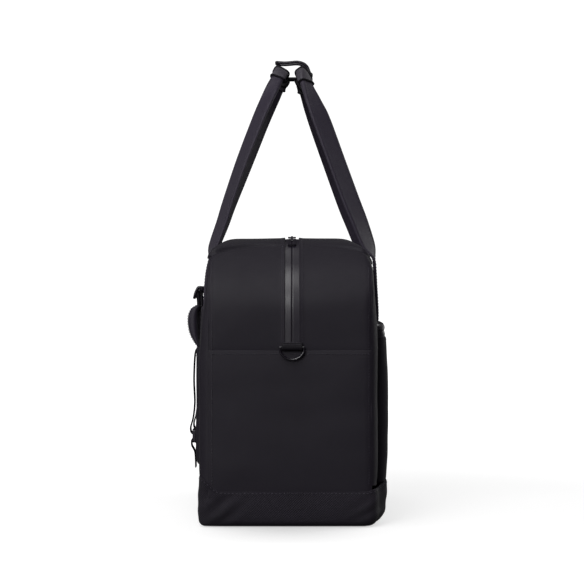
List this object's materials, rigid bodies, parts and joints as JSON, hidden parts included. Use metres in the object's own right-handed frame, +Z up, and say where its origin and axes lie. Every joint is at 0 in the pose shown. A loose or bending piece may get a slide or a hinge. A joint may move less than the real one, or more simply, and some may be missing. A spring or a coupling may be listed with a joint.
{
  "type": "weekender bag",
  "caption": "Soft weekender bag with a zip over the top, webbing handles with wrapped grips, a wire hook, D-rings, a zipped front pocket and tucked shoulder straps.",
  "frame": {"origin": "middle of the bag's footprint, on the floor it stands on", "axes": "+X along the bag's length, +Y towards the wall with the shoulder straps (the pocket faces -Y), +Z up"},
  "size_m": [0.5132, 0.2569, 0.5876],
  "materials": {
    "shell": "smooth matt coated weave, black with a faint violet cast",
    "boot": "coarse ballistic weave, matt",
    "zip_film": "satin polyurethane film on woven tape",
    "zip_coil": "matt moulded coil",
    "webbing": "ribbed nylon webbing, slight sheen",
    "handle_fabric": "fine twill over webbing, slight sheen",
    "grip_wrap": "dense brushed grip tape, dark grey",
    "pad_fabric": "padded matt weave",
    "black_metal": "satin black coating",
    "gloss_metal": "gloss black coating",
    "buckle_plastic": "fine grained moulded",
    "board": "fine grained sheet",
    "lining": "thin plain weave"
  },
  "bodies": {
    "bag": {"base_boot": "boot", "end_panel_near": "shell", "end_panel_far": "shell", "front_panel": "shell", "back_panel": "shell", "base_board": "board", "lining": "lining", "gusset_back": "shell", "gusset_front": "shell", "zip_tape_back": "zip_film", "zip_tape_front": "zip_film", "zip_coil_back": "zip_coil", "zip_coil_front": "zip_coil", "end_tab_near": "webbing", "end_tab_far": "webbing", "handle_patch_back": "handle_fabric", "handle_patch_front": "handle_fabric", "front_pocket": "shell", "pocket_zip": "zip_film", "stow_pocket": "shell", "strap_anchor_near": "webbing", "shoulder_pad_near": "pad_fabric", "strap_webbing_near": "webbing", "strap_foot_near": "webbing", "strap_anchor_far": "webbing", "shoulder_pad_far": "pad_fabric", "strap_webbing_far": "webbing", "strap_foot_far": "webbing"},
    "flap_back": {"flap_back": "shell", "flap_tape_back": "zip_film", "flap_coil_back": "zip_coil"},
    "flap_front": {"flap_front": "shell", "flap_tape_front": "zip_film", "flap_coil_front": "zip_coil"},
    "zip_slider_near": {"zip_slider_near": "black_metal"},
    "zip_puller_near": {"zip_puller_near": "black_metal"},
    "zip_slider_far": {"zip_slider_far": "black_metal"},
    "zip_puller_far": {"zip_puller_far": "black_metal"},
    "d_ring_near": {"d_ring_near": "gloss_metal"},
    "d_ring_far": {"d_ring_far": "gloss_metal"},
    "handle_back": {"handle_strap_back": "handle_fabric", "handle_wrap_back": "grip_wrap", "handle_keeper": "webbing"},
    "handle_front": {"handle_strap_front": "handle_fabric", "handle_wrap_front": "grip_wrap", "hook_holder": "webbing"},
    "handle_hook": {"handle_hook": "black_metal"},
    "pocket_slider": {"pocket_slider": "black_metal"},
    "pocket_puller": {"pocket_puller": "black_metal"},
    "strap_hook_near": {"strap_hook_near": "black_metal"},
    "strap_hook_far": {"strap_hook_far": "black_metal"},
    "ladder_lock_near": {"ladder_lock_near": "buckle_plastic"},
    "ladder_lock_far": {"ladder_lock_far": "buckle_plastic"}
  },
  "joints": [
    {"name": "flap_back_lift", "type": "hinge", "parent": "bag", "child": "flap_back", "pos_m": [0, 0.05, 0.352], "axis": [-1, 0, 0], "range_deg": [0, 100]},
    {"name": "flap_front_lift", "type": "hinge", "parent": "bag", "child": "flap_front", "pos_m": [0, -0.05, 0.352], "axis": [1, 0, 0], "range_deg": [0, 100]},
    {"name": "zip_near_travel", "type": "hinge", "parent": "bag", "child": "zip_slider_near", "pos_m": [-0.148, 0, 0.25], "axis": [0, -1, 0], "range_deg": [0, 70]},
    {"name": "zip_near_pull", "type": "hinge", "parent": "zip_slider_near", "child": "zip_puller_near", "pos_m": [-0.17832, 0, 0.34917], "axis": [0, 1, 0], "range_deg": [0, 150]},
    {"name": "zip_far_travel", "type": "slide", "parent": "bag", "child": "zip_slider_far", "axis": [1, 0, 0], "range_m": [0, 0.28]},
    {"name": "zip_far_pull", "type": "hinge", "parent": "zip_slider_far", "child": "zip_puller_far", "pos_m": [-0.141, 0, 0.3537], "axis": [0, -1, 0], "range_deg": [0, 150]},
    {"name": "d_ring_near_swing", "type": "hinge", "parent": "bag", "child": "d_ring_near", "pos_m": [-0.2536, 0, 0.218], "axis": [0, 1, 0], "range_deg": [0, 110]},
    {"name": "d_ring_far_swing", "type": "hinge", "parent": "bag", "child": "d_ring_far", "pos_m": [0.2536, 0, 0.218], "axis": [0, -1, 0], "range_deg": [0, 110]},
    {"name": "handle_back_fold", "type": "hinge", "parent": "bag", "child": "handle_back", "pos_m": [0, 0.1103, 0.261], "axis": [-1, 0, 0], "range_deg": [0, 130]},
    {"name": "handle_front_fold", "type": "hinge", "parent": "bag", "child": "handle_front", "pos_m": [0, -0.105, 0.261], "axis": [1, 0, 0], "range_deg": [0, 130]},
    {"name": "handle_hook_open", "type": "hinge", "parent": "handle_front", "child": "handle_hook", "pos_m": [0, -0.0275, 0.571], "axis": [1, 0, 0], "range_deg": [0, 100]},
    {"name": "pocket_zip_travel", "type": "slide", "parent": "bag", "child": "pocket_slider", "axis": [-1, 0, 0], "range_m": [0, 0.38]},
    {"name": "pocket_zip_pull", "type": "hinge", "parent": "pocket_slider", "child": "pocket_puller", "pos_m": [0.19, -0.1187, 0.238], "axis": [0, 0, 1], "range_deg": [0, 150]},
    {"name": "strap_hook_near_open", "type": "hinge", "parent": "bag", "child": "strap_hook_near", "pos_m": [-0.048, 0.116, 0.287], "axis": [1, 0, 0], "range_deg": [0, 80]},
    {"name": "strap_hook_far_open", "type": "hinge", "parent": "bag", "child": "strap_hook_far", "pos_m": [0.048, 0.116, 0.287], "axis": [1, 0, 0], "range_deg": [0, 80]},
    {"name": "ladder_lock_near_tilt", "type": "hinge", "parent": "bag", "child": "ladder_lock_near", "pos_m": [-0.048, 0.127, 0.092], "axis": [-1, 0, 0], "range_deg": [-3, 8]},
    {"name": "ladder_lock_far_tilt", "type": "hinge", "parent": "bag", "child": "ladder_lock_far", "pos_m": [0.048, 0.127, 0.092], "axis": [-1, 0, 0], "range_deg": [-3, 8]}
  ]
}
